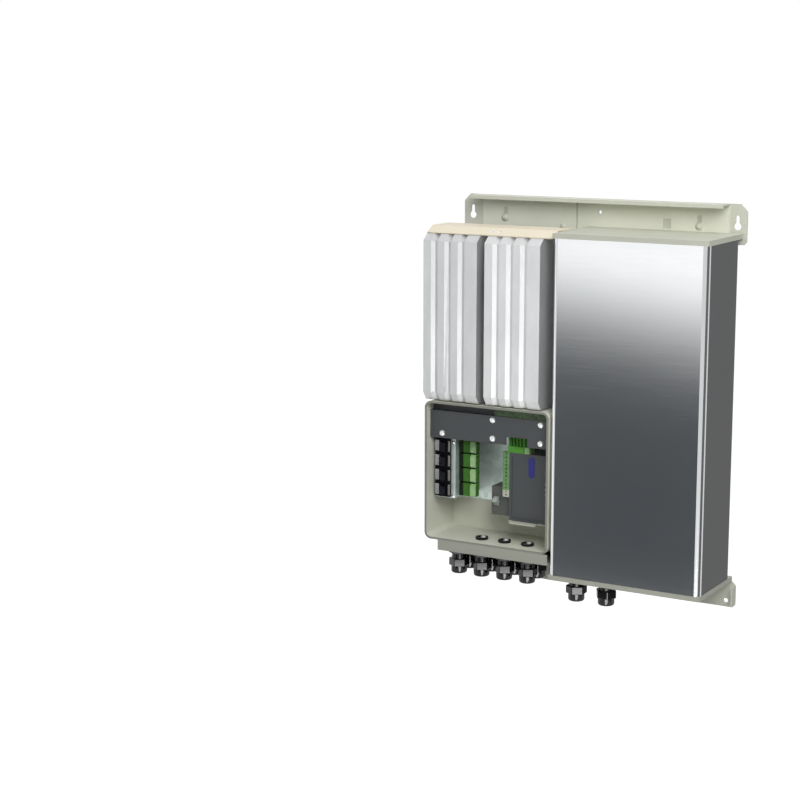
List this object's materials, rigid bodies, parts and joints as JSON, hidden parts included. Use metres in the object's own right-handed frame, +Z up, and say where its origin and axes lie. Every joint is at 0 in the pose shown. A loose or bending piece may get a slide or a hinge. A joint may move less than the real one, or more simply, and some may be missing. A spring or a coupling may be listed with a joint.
{
  "type": "roadside utility cabinet",
  "caption": "Wall-hung outdoor power and battery cabinet with its hood off: ribbed rectifiers over an open terminal box with cable glands, beside a stainless battery cover.",
  "frame": {"origin": "on the wall, midway between the lower fixing holes", "axes": "+Z up, +Y into the wall, +X to the right for someone facing the cabinet"},
  "size_m": [0.437, 0.134, 0.568],
  "materials": {
    "pale_paint": "smooth pale grey powder coat",
    "cream_paint": "smooth cream paint",
    "cast_aluminium": "bead-blasted die casting",
    "stainless": "fine-brushed stainless sheet",
    "zinc": "zinc-plated sheet",
    "fastener": "bright plated fasteners",
    "dark_paint": "satin dark grey paint",
    "dark_plastic": "satin dark grey plastic",
    "black_plastic": "satin black moulded plastic",
    "grey_plastic": "light grey plastic",
    "green_plastic": "green moulded plastic",
    "dark_green_plastic": "dark green moulded plastic",
    "circuit_board": "green solder mask",
    "black_rubber": "black rubber",
    "lens": "clear lens",
    "battery_case": "dark grey plastic",
    "lead": "dull lead"
  },
  "bodies": {
    "cabinet": {"wall_plate": "pale_paint", "hanging_screws": "fastener", "frame_screw": "fastener", "battery_back": "pale_paint", "top_shelf": "pale_paint", "bottom_plate": "pale_paint", "case_back": "zinc", "battery_cover": "stainless", "cover_screws": "fastener", "battery_rack": "zinc", "battery_1": "battery_case", "battery_2": "battery_case", "battery_3": "battery_case", "battery_4": "battery_case", "battery_posts": "lead", "power_frame": "pale_paint", "rectifier_base_1": "zinc", "rectifier_base_2": "zinc", "rectifier_1": "cast_aluminium", "rectifier_2": "cast_aluminium", "top_plate": "cream_paint", "top_plate_screws": "fastener", "terminal_box": "pale_paint", "gland_tray": "pale_paint", "gland_bodies": "black_plastic", "gland_nuts": "black_plastic", "gland_seals": "black_rubber", "gland_locknuts": "black_plastic", "floor_grommets": "black_rubber", "mounting_plate": "zinc", "bracket": "dark_paint", "bracket_screws": "fastener", "interface_board": "circuit_board", "breaker_bracket": "zinc", "breaker_bracket_screws": "fastener", "breaker_1": "black_plastic", "breaker_2": "black_plastic", "breaker_3": "black_plastic", "breaker_4": "black_plastic", "terminal_header": "dark_green_plastic", "output_plug_1": "green_plastic", "output_plug_2": "green_plastic", "output_plug_3": "green_plastic", "output_plug_4": "green_plastic", "controller_box": "dark_paint", "controller_tray": "pale_paint", "controller_leds": "lens", "signal_plug": "green_plastic", "bus_plug": "green_plastic", "battery_switch": "dark_plastic"},
    "breaker_toggle_1": {"breaker_toggle_1": "black_plastic"},
    "breaker_toggle_2": {"breaker_toggle_2": "black_plastic"},
    "breaker_toggle_3": {"breaker_toggle_3": "black_plastic"},
    "breaker_toggle_4": {"breaker_toggle_4": "black_plastic"},
    "battery_switch_toggle": {"battery_switch_toggle": "grey_plastic"}
  },
  "joints": [
    {"name": "breaker_toggle_1_tip", "type": "hinge", "parent": "cabinet", "child": "breaker_toggle_1", "pos_m": [-0.193, -0.108, 0.1359], "axis": [0, 0, -1], "range_deg": [0, 40]},
    {"name": "breaker_toggle_2_tip", "type": "hinge", "parent": "cabinet", "child": "breaker_toggle_2", "pos_m": [-0.193, -0.108, 0.1575], "axis": [0, 0, -1], "range_deg": [0, 40]},
    {"name": "breaker_toggle_3_tip", "type": "hinge", "parent": "cabinet", "child": "breaker_toggle_3", "pos_m": [-0.193, -0.108, 0.1791], "axis": [0, 0, -1], "range_deg": [0, 40]},
    {"name": "breaker_toggle_4_tip", "type": "hinge", "parent": "cabinet", "child": "breaker_toggle_4", "pos_m": [-0.193, -0.108, 0.2007], "axis": [0, 0, -1], "range_deg": [0, 40]},
    {"name": "battery_switch_toggle_tip", "type": "hinge", "parent": "cabinet", "child": "battery_switch_toggle", "pos_m": [-0.115, -0.0895, 0.124], "axis": [1, 0, 0], "range_deg": [0, 36]}
  ]
}
